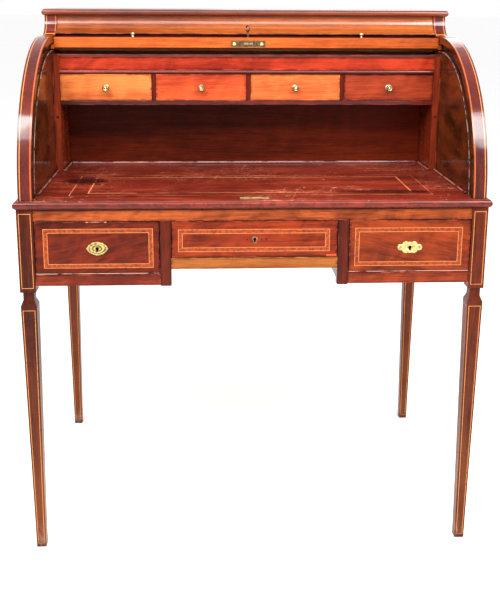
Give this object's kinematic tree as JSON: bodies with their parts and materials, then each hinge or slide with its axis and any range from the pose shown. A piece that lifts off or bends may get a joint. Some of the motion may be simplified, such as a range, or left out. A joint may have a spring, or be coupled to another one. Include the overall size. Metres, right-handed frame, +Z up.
{
  "type": "roll top desk",
  "caption": "Writing desk with a tambour roll top, a nest of small drawers over the writing board, and drawers and a kneehole below on tapered legs.",
  "frame": {"origin": "on the floor, under the middle of the desk", "axes": "+X to the desk's right as its user sees it, +Y from the front to the back, +Z up"},
  "size_m": [0.946, 0.614, 1.122],
  "materials": {
    "carcase_mahogany": "polished dark mahogany with string inlay",
    "red_mahogany": "french polished red mahogany",
    "light_mahogany": "polished orange mahogany",
    "writing_board": "worn polished mahogany with string inlay",
    "back_boards": "stained back boards, thin polish",
    "drawer_lining": "bare pale wood, slightly dusty",
    "brass": "worn polished brass",
    "canvas": "plain glued canvas"
  },
  "bodies": {
    "carcase": {"table_top": "writing_board", "strike_plate": "brass", "front_left_leg": "carcase_mahogany", "front_right_leg": "carcase_mahogany", "back_left_leg": "carcase_mahogany", "back_right_leg": "carcase_mahogany", "frieze_rail": "light_mahogany", "left_stile": "red_mahogany", "right_stile": "red_mahogany", "left_bottom_rail": "red_mahogany", "right_bottom_rail": "red_mahogany", "centre_bottom_rail": "light_mahogany", "left_end_panel": "carcase_mahogany", "right_end_panel": "carcase_mahogany", "lower_back_panel": "back_boards", "dust_panel": "drawer_lining", "pedestal_sides": "red_mahogany", "drawer_runners": "drawer_lining", "left_side_panel": "carcase_mahogany", "right_side_panel": "carcase_mahogany", "top_board": "light_mahogany", "cornice_frieze": "light_mahogany", "roll_stop_strip": "carcase_mahogany", "upper_back_panel": "back_boards", "nest_sides": "red_mahogany", "nest_shelf": "red_mahogany", "nest_top": "red_mahogany", "nest_dividers": "red_mahogany", "nest_back": "carcase_mahogany", "nest_fascia": "red_mahogany", "nest_mouldings": "red_mahogany", "surface_bead": "carcase_mahogany"},
    "small_drawer_1": {"small_drawer_1_front": "light_mahogany", "small_drawer_1_tray": "drawer_lining", "small_drawer_1_knob": "brass"},
    "small_drawer_2": {"small_drawer_2_front": "light_mahogany", "small_drawer_2_tray": "drawer_lining", "small_drawer_2_knob": "brass"},
    "small_drawer_3": {"small_drawer_3_front": "light_mahogany", "small_drawer_3_tray": "drawer_lining", "small_drawer_3_knob": "brass"},
    "small_drawer_4": {"small_drawer_4_front": "light_mahogany", "small_drawer_4_tray": "drawer_lining", "small_drawer_4_knob": "brass"},
    "left_drawer": {"left_drawer_front": "red_mahogany", "left_drawer_tray": "drawer_lining", "left_drawer_lock": "brass"},
    "centre_drawer": {"centre_drawer_front": "red_mahogany", "centre_drawer_tray": "drawer_lining", "centre_drawer_lock": "brass"},
    "right_drawer": {"right_drawer_front": "red_mahogany", "right_drawer_tray": "drawer_lining", "right_drawer_lock": "brass"},
    "roll": {"roll_rail": "light_mahogany", "roll_slats": "light_mahogany", "roll_canvas": "canvas", "roll_lock": "brass", "roll_knobs": "brass"},
    "bolt": {"roll_bolt": "brass"},
    "key": {"roll_key": "brass"}
  },
  "joints": [
    {"name": "roll_turn", "type": "hinge", "parent": "carcase", "child": "roll", "pos_m": [0, 0.009, 0.76], "axis": [1, 0, 0], "range_deg": [0, 93.7]},
    {"name": "key_turn", "type": "hinge", "parent": "roll", "child": "key", "pos_m": [0, 0.04405, 1.04625], "axis": [0, -0.0698, -0.9976], "range_deg": [0, 90]},
    {"name": "bolt_slide", "type": "slide", "parent": "roll", "child": "bolt", "axis": [0, -0.9976, 0.0698], "range_m": [0, 0.008]},
    {"name": "small_drawer_1_slide", "type": "slide", "parent": "carcase", "child": "small_drawer_1", "axis": [0, -1, 0], "range_m": [0, 0.085]},
    {"name": "small_drawer_2_slide", "type": "slide", "parent": "carcase", "child": "small_drawer_2", "axis": [0, -1, 0], "range_m": [0, 0.085]},
    {"name": "small_drawer_3_slide", "type": "slide", "parent": "carcase", "child": "small_drawer_3", "axis": [0, -1, 0], "range_m": [0, 0.085]},
    {"name": "small_drawer_4_slide", "type": "slide", "parent": "carcase", "child": "small_drawer_4", "axis": [0, -1, 0], "range_m": [0, 0.085]},
    {"name": "left_drawer_slide", "type": "slide", "parent": "carcase", "child": "left_drawer", "axis": [0, -1, 0], "range_m": [0, 0.4]},
    {"name": "centre_drawer_slide", "type": "slide", "parent": "carcase", "child": "centre_drawer", "axis": [0, -1, 0], "range_m": [0, 0.4]},
    {"name": "right_drawer_slide", "type": "slide", "parent": "carcase", "child": "right_drawer", "axis": [0, -1, 0], "range_m": [0, 0.4]}
  ],
  "couplings": [
    {"joint": "bolt_slide", "follows": "key_turn", "m_per_rad": 0.00509}
  ]
}
